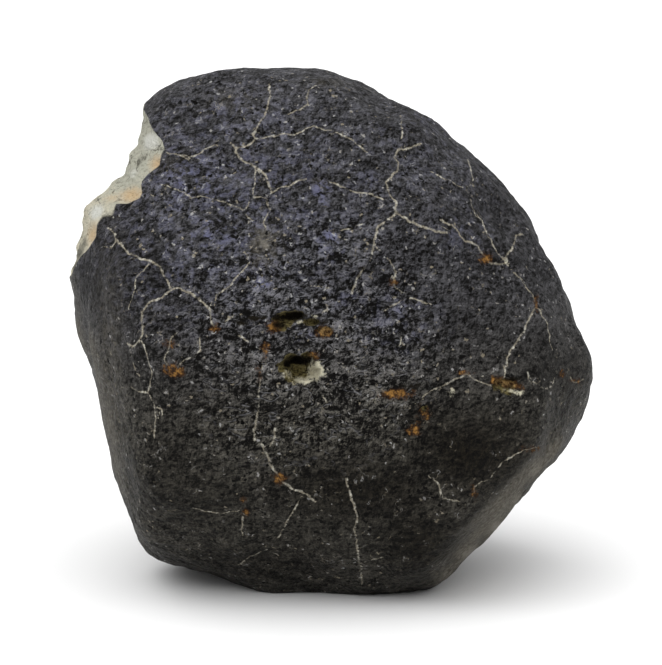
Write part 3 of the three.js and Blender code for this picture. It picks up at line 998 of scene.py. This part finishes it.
def patterns(recipe):
    """All patterns and kept measures that the finish reads, by name."""
    where = recipe.place_in_mm()
    made = {name: cloud_of(recipe, where, look) for name, look in CLOUDS.items()}
    # Painted highlights on up-facing crumbs and ledges, and painted shadows under them.
    made["crumb_painted_light"] = painted_top_light(recipe, where, CLOUDS["crumb"], CRUMB_LIGHT_REACH)
    lying = recipe.on_vector("MULTIPLY", "Vector", where, LEDGE_STRETCH)
    made["ledge"] = cloud_of(recipe, lying, LEDGE_CLOUD)
    made["ledge_painted_light"] = painted_top_light(recipe, lying, LEDGE_CLOUD, LEDGE_LIGHT_REACH)
    # Painted furrow shadows, and painted highlights on the lips just below them.
    made["furrow"] = seam(recipe, lying, FURROW_CLOUD, FURROW_WIDTH)
    higher = recipe.on_vector("ADD", "Vector", lying, LIP_HIGHLIGHT_REACH)
    made["lip"] = seam(recipe, higher, FURROW_CLOUD, FURROW_WIDTH)
    made["fret"] = cloud_of(recipe, where, FRET_CLOUD, "Color")
    made["hair"] = seam(recipe, where, HAIR_CLOUD, HAIR_WIDTH)
    made["vein"] = seam(recipe, where, VEIN_CLOUD, VEIN_WIDTH)
    made["fine_away"], made["fine_lot"] = grains(recipe, where, FINE_GRAIN)
    made["coarse_lot"] = grains(recipe, where, COARSE_GRAIN)[1]
    made["height"] = recipe.parts(where)["Z"]
    for measure, arrays in MEASURES.items():
        made.update(zip(arrays, recipe.parts(recipe.kept(measure))))
    return SimpleNamespace(**made)


def mixture(recipe, p, weights):
    """The named patterns, each times its weight, all added up."""
    return recipe.weighted(*[(vars(p)[name], weight) for name, weight in weights.items()])


print("clouds:", len(CLOUDS), "measures on the points:", sum(map(len, MEASURES.values())))

# %% [markdown]
# ## Bare crust
#
# Fusion crust is dark glass. Its grains run from black to grey, browner low down and on the worn sides,
# with a blue cast where the glaze is thick; that blue is partly painted sheen, and its few bright glints
# are painted highlights. All of it hangs on one level, a mixture of the patterns: low is black glass and
# high is grit. Each pair of numbers below says where a share begins and where it is full.

# %% Grit and glaze
# Black glass of the crust; the same black paints the shadows under ledges, in furrows and in pin holes.
BLACK_GLASS_AND_SHADOW = (0.0045, 0.0042, 0.0038, 1)
GREY_GRIT = (0.217, 0.215, 0.233, 1)
TAWNY_GRIT = (0.212, 0.200, 0.172, 1)
BLUE_GRIT = (0.056, 0.054, 0.060, 1)
BROWN_GRIT = (0.034, 0.028, 0.018, 1)
# The blue of the glaze is partly painted sheen, and the glint is a painted highlight.
BLUE_GLAZE_SHEEN = (0.150, 0.154, 0.240, 1)
PAINTED_BLUE_GLINT = (0.34, 0.35, 0.44, 1)
# The two up-facing terms paint highlights on bumps and shadows under ledges into the grit's level.
GRIT_LEVEL = {
    "fine_lot": 0.26, "coarse_lot": 0.22, "grit": 1.3, "patchy": 0.5, "crumb_painted_light": 2.2, "ledge_painted_light": 0.9,
}
GRIT_RANGE = (0.78, 2.02)
GRIT_MIDDLE = 1.14
CONTRAST_BY_CRAG = (0.0, 0.7, 0.74, 1.6)
MOTTLE_BY_CRAG = (0.0, 0.6, 0.5, 1.5)
BROWN_BELOW = (47.0, 25.0)
GLAZE_LEVEL = {"coarse_lot": 0.35, "grit": 0.6, "blotchy": 1.0}
GLAZE_RANGE = (0.9, 1.3)
PAINTED_GLINT_RANGE = (0.90, 0.96)


def grit_colour(recipe, p):
    """Black glass to grey, blue or brown grit, darker in painted shade, with harder contrast and mottle among
    the crags.
    """
    mottle = recipe.times(recipe.sum("SUBTRACT", p.blotchy, 0.5), recipe.rise(p.crag, *MOTTLE_BY_CRAG))
    from_middle = recipe.sum("SUBTRACT", mixture(recipe, p, GRIT_LEVEL), GRIT_MIDDLE)
    contrast = recipe.rise(p.crag, *CONTRAST_BY_CRAG)
    level = recipe.weighted((from_middle, contrast), (mottle, 1.0), (GRIT_MIDDLE, 1.0))
    brown = recipe.largest(recipe.rise(p.height, *BROWN_BELOW), p.worn)
    plain_grit = recipe.blend(brown, GREY_GRIT, TAWNY_GRIT)
    dark_grit = recipe.blend(brown, BLUE_GRIT, BROWN_GRIT)
    # Darker grit in the dark patches, which on the front are painted shade.
    grit = recipe.blend(p.shade, plain_grit, dark_grit)
    return recipe.blend(recipe.rise(level, *GRIT_RANGE), BLACK_GLASS_AND_SHADOW, grit)


def glaze_sheen_share(recipe, p):
    """Clusters of coarse grains inside the glazed patches, whose blue is partly painted sheen."""
    return recipe.times(recipe.rise(mixture(recipe, p, GLAZE_LEVEL), *GLAZE_RANGE), p.glaze)


def grit_with_glaze_sheen(recipe, p, glazed_sheen):
    """The grit's colour, with blue glaze that is partly painted sheen and a few painted glints over it."""
    glaze = recipe.blend(recipe.rise(p.fine_lot, *PAINTED_GLINT_RANGE), BLUE_GLAZE_SHEEN, PAINTED_BLUE_GLINT)
    return recipe.blend(glazed_sheen, grit_colour(recipe, p), glaze)


print("grit from", BLACK_GLASS_AND_SHADOW[:3], "to", GREY_GRIT[:3])

# %% [markdown]
# ## Dust, painted shadows and highlights, specks and glints
#
# Dust lies over the worn sides and thickest along the lower right edge, where the thick pale dust is
# partly painted light. Under the ledges painted shadow is laid in black, and short furrows of painted black
# shadow, each with a painted highlight on the lip below it, wrinkle the ground among the crags. Small tan
# specks, white ones that are partly painted glints, and short hairs are scattered through the middle, and
# pin holes are painted black as shade.

# %% Everything that lies on the grit
DUST_DARK = (0.075, 0.066, 0.052, 1)
DUST_PALE = (0.190, 0.178, 0.152, 1)
# Thick pale dust, partly painted light along the lower right edge.
THICK_DUST_AND_PAINTED_LIGHT = (0.34, 0.32, 0.28, 1)
SPECK_TAN = (0.24, 0.21, 0.155, 1)
# White specks that are partly painted glints.
WHITE_SPECK_AND_GLINT = (0.38, 0.375, 0.37, 1)
# Painted highlight on the lip below each furrow.
LIP_HIGHLIGHT_GREY = (0.26, 0.26, 0.28, 1)
DUST_LEVEL = {"worn": 0.25, "ragged": 1.0}
DUST_RANGE = (0.25, 0.75)
DUST_GRAIN = (0.3, 0.7)
DUST_AND_LIGHT_DEPTH = (1.0, 2.0)
# Painted shadow under the ledges.
LEDGE_SHADOW_LEVEL = {"crag": -0.14, "ledge_painted_light": 1.0}
LEDGE_SHADOW_RANGE = (-0.17, -0.24, 0.0, 0.9)
FURROW_SHADOW_BY_CRAG = (0.1, 0.6, 0.0, 0.9)
LIP_HIGHLIGHT_BY_CRAG = (0.1, 0.6, 0.0, 0.5)
FURROW_BITS = (0.46, 0.56)
SPECK_LEVEL = {"fine_lot": 1.0, "crag": 0.035, "shade": -0.04, "patchy": 0.05}
SPECK_RANGE = (0.985, 1.005)
SPECK_OUTLINE = (0.62, 0.35)
SPECK_TINT = (0.3, 0.7)
HAIR_RANGE = (0.56, 0.66, 0.0, 0.7)
FEWER_WHERE_WORN = (0.0, 1.0, 1.0, 0.2)
# Painted shade in pin holes.
PIN_HOLE_SHADE_RANGE = (0.08, 0.03)
NO_PIN_HOLE_SHADE_WHERE_WORN = (0.5, 0.0)


def dust_and_light_share(recipe, p):
    """Ragged dust on the dusty patches, closed on the worn sides; partly painted light along the lower right
    edge.
    """
    return recipe.times(p.dust, recipe.rise(mixture(recipe, p, DUST_LEVEL), *DUST_RANGE))


def dust_and_light_colour(recipe, p):
    """Dark to pale by the grit, and paler still where the dust is thick, partly as painted light."""
    thin = recipe.blend(recipe.rise(p.grit, *DUST_GRAIN), DUST_DARK, DUST_PALE)
    return recipe.blend(recipe.rise(p.dust, *DUST_AND_LIGHT_DEPTH), thin, THICK_DUST_AND_PAINTED_LIGHT)


def specks_and_glints(recipe, p):
    """Single grains with a high lot and bits of seams, tan specks or partly painted white glints: fewer where
    shaded or worn.
    """
    chosen = recipe.rise(mixture(recipe, p, SPECK_LEVEL), *SPECK_RANGE)
    specks = recipe.times(chosen, recipe.rise(p.fine_away, *SPECK_OUTLINE))
    hairs = recipe.times(p.hair, recipe.rise(p.blotchy, *HAIR_RANGE))
    return recipe.times(recipe.largest(specks, hairs), recipe.rise(p.worn, *FEWER_WHERE_WORN))


def crust_colour(recipe, p, glazed_sheen, dusted_and_lit):
    """Grit, glaze and dust, then painted ledge and furrow shadows, painted lip highlights, specks, glints and
    pin-hole shade.
    """
    colour = recipe.blend(dusted_and_lit, grit_with_glaze_sheen(recipe, p, glazed_sheen), dust_and_light_colour(recipe, p))
    # Painted shadow: black under the ledges.
    painted_ledge_shadow = recipe.rise(mixture(recipe, p, LEDGE_SHADOW_LEVEL), *LEDGE_SHADOW_RANGE)
    colour = recipe.blend(painted_ledge_shadow, colour, BLACK_GLASS_AND_SHADOW)
    bits = recipe.rise(p.blotchy, *FURROW_BITS)
    # Painted highlight on the furrow lips, then painted black furrow shadow.
    colour = recipe.blend(recipe.times(p.lip, bits, recipe.rise(p.crag, *LIP_HIGHLIGHT_BY_CRAG)), colour, LIP_HIGHLIGHT_GREY)
    furrow = recipe.times(p.furrow, bits, recipe.rise(p.crag, *FURROW_SHADOW_BY_CRAG))
    colour = recipe.blend(furrow, colour, BLACK_GLASS_AND_SHADOW)
    # Tan specks, and white ones that are partly painted glints.
    speck = recipe.blend(recipe.rise(p.coarse_lot, *SPECK_TINT), SPECK_TAN, WHITE_SPECK_AND_GLINT)
    colour = recipe.blend(specks_and_glints(recipe, p), colour, speck)
    # Painted shade: pin holes in black.
    pin_hole_shade = recipe.times(recipe.rise(p.fine_lot, *PIN_HOLE_SHADE_RANGE), recipe.rise(p.worn, *NO_PIN_HOLE_SHADE_WHERE_WORN))
    return recipe.blend(pin_hole_shade, colour, BLACK_GLASS_AND_SHADOW)


print("dust from", DUST_DARK[:3], "to", THICK_DUST_AND_PAINTED_LIGHT[:3])

# %% [markdown]
# ## Cracks, pits and rust
#
# The crack lines are drawn where the kept vector, shaken a little, is shorter than the crack's ragged
# half width. The pits are olive with black grit in them. Rust covers its ovals in two grades, a dark rim
# and a bright middle, with edges broken up by clouds; then come the painted black shadows under the roofs
# of the hollows and the pale mineral.

# %% Colour of cracks and weathering
CRACK_TAN = (0.29, 0.26, 0.20, 1)
CRACK_PALE = (0.60, 0.58, 0.50, 1)
RUST_DARK = (0.055, 0.026, 0.012, 1)
RUST_BRIGHT = (0.40, 0.205, 0.055, 1)
PIT_OCHRE = (0.46, 0.30, 0.12, 1)
PIT_OLIVE = (0.30, 0.25, 0.10, 1)
# Black of the grit in the pits, also the black of the painted shadows in the hollows.
PIT_BLACK_AND_SHADOW = (0.010, 0.008, 0.005, 1)
PALE_CREAM = (0.72, 0.68, 0.52, 1)
CRACK_FRET = 0.32
CRACK_RAGGED = (0.30, 0.70, 0.75, 1.55)
CRACK_CORE = (1.4, 0.4)
CRACK_NEAR = (0.9, 0.6)
CRACK_GAPS = (0.28, 0.55, 0.3, 1.0)
CRACK_TINT = (0.48, 0.66)
PIT_GRAIN = (0.36, 0.60)
PIT_RANGE = (0.2, 0.7, 0.0, 0.9)
RUST_GRAIN = (0.36, 0.66)
RUST_RIM = (2.8, 1.55, 2.00)
RUST_MIDDLE = (2.8, 1.80, 2.35)
RUST_COVER = 0.8
HOLLOW_SHADOW_EDGE = (1.9, 1.25, 1.65)
PALE_EDGE = (1.9, 1.25, 1.65)
EDGE_LEVEL = {"ragged": 0.5, "grit": 0.5}
STAIN_FADE = (0.05, 0.25)


def crack_line(recipe, p):
    """1 along the cracks: the shaken vector's length against the half width, with faint gaps."""
    fret = recipe.on_vector("SUBTRACT", "Vector", p.fret, (0.5,) * 3)
    jagged = recipe.on_vector("MULTIPLY_ADD", "Vector", fret, (CRACK_FRET,) * 3, recipe.kept("crack_offset"))
    half_width = recipe.times(p.crack_width, recipe.rise(p.grit, *CRACK_RAGGED))
    in_widths = recipe.sum("DIVIDE", recipe.on_vector("LENGTH", "Value", jagged), half_width)
    near = recipe.rise(p.crack_near, *CRACK_NEAR)
    return recipe.times(recipe.rise(in_widths, *CRACK_CORE), near, recipe.rise(p.ragged, *CRACK_GAPS))


def patch(recipe, p, strength, spread, low, high):
    """1 inside a stain's oval, with an edge broken up by so much of two clouds, and 0 far from it."""
    level = recipe.weighted((mixture(recipe, p, EDGE_LEVEL), spread), (strength, 1.0))
    return recipe.times(recipe.rise(level, low, high), recipe.rise(strength, *STAIN_FADE))


def rust_colour(recipe, p):
    """Dark to bright rust by the grit, turning to ochre in the pits."""
    bright = recipe.blend(recipe.rise(p.pit_depth, *PIT_RANGE), RUST_BRIGHT, PIT_OCHRE)
    return recipe.blend(recipe.rise(p.grit, *RUST_GRAIN), RUST_DARK, bright)


def weathered(recipe, p, colour, line, rusted, paled):
    """The crust's colour with cracks, pits, rust, painted black shadows in the hollows and pale mineral laid
    over it.
    """
    crack = recipe.blend(recipe.rise(p.grit, *CRACK_TINT), CRACK_TAN, CRACK_PALE)
    colour = recipe.blend(line, colour, crack)
    pit = recipe.blend(recipe.rise(p.grit, *PIT_GRAIN), PIT_BLACK_AND_SHADOW, PIT_OLIVE)
    colour = recipe.blend(recipe.rise(p.pit_depth, *PIT_RANGE), colour, pit)
    colour = recipe.blend(recipe.times(rusted, RUST_COVER), colour, RUST_DARK)
    colour = recipe.blend(patch(recipe, p, p.rust, *RUST_MIDDLE), colour, rust_colour(recipe, p))
    # Painted shadow: black in the roofs and crevices of the hollows.
    colour = recipe.blend(patch(recipe, p, p.hollow, *HOLLOW_SHADOW_EDGE), colour, PIT_BLACK_AND_SHADOW)
    return recipe.blend(paled, colour, PALE_CREAM)


print("crack colours:", CRACK_TAN[:3], CRACK_PALE[:3])

# %% [markdown]
# ## The pale inside
#
# Where the break has cut below the skin, the stone shows its sugary inside: grey above, cream below,
# with painted shadow under its own small ledges, thinly veined, with rust soaked in from the crust.

# %% Colour of the inside
INSIDE_CREAM = (0.60, 0.56, 0.44, 1)
INSIDE_GREY = (0.47, 0.465, 0.385, 1)
INSIDE_ORANGE = (0.58, 0.43, 0.26, 1)
INSIDE_WHITE = (0.66, 0.66, 0.60, 1)
# Dark colour of the veins, also used for painted shade inside.
VEIN_AND_SHADE_DARK = (0.16, 0.155, 0.125, 1)
CREAM_LEVEL = {"grit": 0.6, "patchy": 0.4}
CREAM_RANGE = (0.15, 0.50)
GREY_ABOVE = (50.0, 58.0, 0.0, 0.35)
PAINTED_LEDGE_SHADE_LEVEL = {"crumb_painted_light": 1.0, "ledge_painted_light": 1.0}
PAINTED_LEDGE_SHADE_RANGE = (-0.02, -0.26, 0.0, 0.7)
VEIN_RANGE = (0.42, 0.56)
FRESH_EDGE = (1.0, 0.6, 1.1)
ORANGE_EDGE = (1.0, 0.5, 1.6)
DARK_EDGE = (1.0, 0.75, 1.6)


def inside_colour(recipe, p):
    """Grey to cream by height and grit, then painted ledge shadow, veins, fresh, rusty and dark or shaded
    spots.
    """
    grey = recipe.rise(p.height, *GREY_ABOVE)
    cream = recipe.rise(recipe.sum("SUBTRACT", mixture(recipe, p, CREAM_LEVEL), grey), *CREAM_RANGE)
    colour = recipe.blend(cream, INSIDE_GREY, INSIDE_CREAM)
    # Painted shadow under the small ledges, from the offset clouds.
    painted_ledge_shade = recipe.rise(mixture(recipe, p, PAINTED_LEDGE_SHADE_LEVEL), *PAINTED_LEDGE_SHADE_RANGE)
    colour = recipe.blend(painted_ledge_shade, colour, VEIN_AND_SHADE_DARK)
    colour = recipe.blend(recipe.times(p.vein, recipe.rise(p.blotchy, *VEIN_RANGE)), colour, VEIN_AND_SHADE_DARK)
    colour = recipe.blend(patch(recipe, p, p.inside_fresh, *FRESH_EDGE), colour, INSIDE_WHITE)
    colour = recipe.blend(patch(recipe, p, p.inside_rust, *ORANGE_EDGE), colour, INSIDE_ORANGE)
    return recipe.blend(patch(recipe, p, p.inside_shade, *DARK_EDGE), colour, VEIN_AND_SHADE_DARK)


print("inside colours:", INSIDE_GREY[:3], INSIDE_CREAM[:3])

# %% [markdown]
# ## The whole finish
#
# Roughness follows the same shares as the colour, since dust, rust and the inside are dull and the glaze
# is glossy. The bump carries the crumbs and ledges that the mesh is too coarse for, and is held back on
# the worn sides.

# %% The stone's finish
GLASS_TO_DULL = (0.0, 1.0, 0.45, 0.90)
GLAZE_GLOSS = -0.2
CRUST_SPECULAR = 0.05
RELIEF = {"crumb": 1.2, "grit": 0.5, "ledge": 2.4}
FLATTER_WHERE_WORN = (0.0, 1.0, 1.0, 0.45)
CRACK_SUNK = -0.05
BREAK_EDGE_RANGE = (-0.03, 0.05)


def bump_of(recipe, p, line):
    """Crumbs, grit and ledges in mm, less on the worn sides, with the cracks sunk a little."""
    relief = recipe.times(mixture(recipe, p, RELIEF), recipe.rise(p.worn, *FLATTER_WHERE_WORN))
    relief = recipe.weighted((line, CRACK_SUNK), (relief, 1.0))
    bump = recipe.step("ShaderNodeBump", {"Strength": 1.0, "Distance": MM, "Height": relief})
    return bump.outputs[0]


def stone_finish():
    """The crust, weathered, and the inside where the break has cut below the skin."""
    recipe = Recipe("fusion_crust")
    p = patterns(recipe)
    glazed_sheen, dusted_and_lit, line = glaze_sheen_share(recipe, p), dust_and_light_share(recipe, p), crack_line(recipe, p)
    rusted, paled = patch(recipe, p, p.rust, *RUST_RIM), patch(recipe, p, p.pale, *PALE_EDGE)
    broken_off = recipe.rise(p.break_depth, *BREAK_EDGE_RANGE)
    colour = weathered(recipe, p, crust_colour(recipe, p, glazed_sheen, dusted_and_lit), line, rusted, paled)
    dull = recipe.largest(line, dusted_and_lit, rusted, paled, broken_off)
    rough = recipe.rise(dull, *GLASS_TO_DULL)
    inputs = recipe.shader.inputs
    recipe.feed(inputs["Base Color"], recipe.blend(broken_off, colour, inside_colour(recipe, p)))
    recipe.feed(inputs["Roughness"], recipe.weighted((glazed_sheen, GLAZE_GLOSS), (rough, 1.0)))
    recipe.feed(inputs["Specular IOR Level"], CRUST_SPECULAR)
    recipe.feed(inputs["Normal"], bump_of(recipe, p, line))
    return recipe.material


stone = bpy.data.objects.new("meteorite_stone", stone_mesh)
bpy.context.collection.objects.link(stone)
stone_mesh.materials.append(stone_finish())
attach(stone, "root")
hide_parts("stone")
print("finish:", stone_mesh.materials[0].name)

# %% [markdown]
# ## Floor and light
#
# The stone stands alone on white, in soft studio light. A wide pale floor fills the view behind it. The
# surroundings are white overhead and dim near the horizon, as in a room with a bright ceiling, and one wide
# lamp stands high over the camera's left shoulder. So the top gleams and the lower faces sink into the
# dark.

# %% Floor, lamp and surroundings
FLOOR_HALF = 6.0
FLOOR_COLOUR = (0.86, 0.86, 0.86, 1)
FLOOR_ROUGHNESS = 0.9
LAMP_PLACE = (-0.22, -0.40, 1.0)
LAMP_WIDTH = 75
LAMP_POWER = 2.0
HORIZON_GLOW = 0.12
OVERHEAD_GLOW = 1.20
OVERHEAD_FROM = 0.75
WHITE = (1, 1, 1, 1)


def add_floor():
    """One square, far wider than the view."""
    mesh = bpy.data.meshes.new("floor")
    sides = [(-1, -1), (1, -1), (1, 1), (-1, 1)]
    mesh.from_pydata([(x * FLOOR_HALF, y * FLOOR_HALF, 0) for x, y in sides], [], [(0, 1, 2, 3)])
    floor = bpy.data.objects.new("floor", mesh)
    bpy.context.collection.objects.link(floor)
    recipe = Recipe("pale_floor")
    recipe.feed(recipe.shader.inputs["Base Color"], FLOOR_COLOUR)
    recipe.feed(recipe.shader.inputs["Roughness"], FLOOR_ROUGHNESS)
    mesh.materials.append(recipe.material)


def add_lamp():
    """A far lamp in the direction of its place, as wide in degrees as it looks from the stone."""
    lamp = bpy.data.lights.new("high_lamp", "SUN")
    lamp.angle = math.radians(LAMP_WIDTH)
    lamp.energy = LAMP_POWER
    made = bpy.data.objects.new("high_lamp", lamp)
    bpy.context.collection.objects.link(made)
    back = unit(np.array(LAMP_PLACE))
    side = unit(np.cross([0.0, 1.0, 0.0], back))
    turned = np.eye(4)
    turned[:3, :3] = np.stack([side, np.cross(back, side), back]).T
    turned[:3, 3] = LAMP_PLACE
    made.matrix_world = Matrix(turned.tolist())


def add_surroundings():
    """White light from all round: its strength follows the height of the direction."""
    world = bpy.data.worlds.new("surroundings")
    world.use_nodes = True
    nodes, links = world.node_tree.nodes, world.node_tree.links
    looking = nodes.new("ShaderNodeTexCoord")
    parts = nodes.new("ShaderNodeSeparateXYZ")
    strength = nodes.new("ShaderNodeMapRange")
    strength.inputs["From Max"].default_value = OVERHEAD_FROM
    strength.inputs["To Min"].default_value = HORIZON_GLOW
    strength.inputs["To Max"].default_value = OVERHEAD_GLOW
    links.new(looking.outputs["Generated"], parts.inputs[0])
    links.new(parts.outputs["Z"], strength.inputs["Value"])
    links.new(strength.outputs[0], nodes["Background"].inputs["Strength"])
    nodes["Background"].inputs["Color"].default_value = WHITE
    bpy.context.scene.world = world


add_floor()
add_lamp()
add_surroundings()
bpy.context.scene.view_settings.view_transform = "Standard"
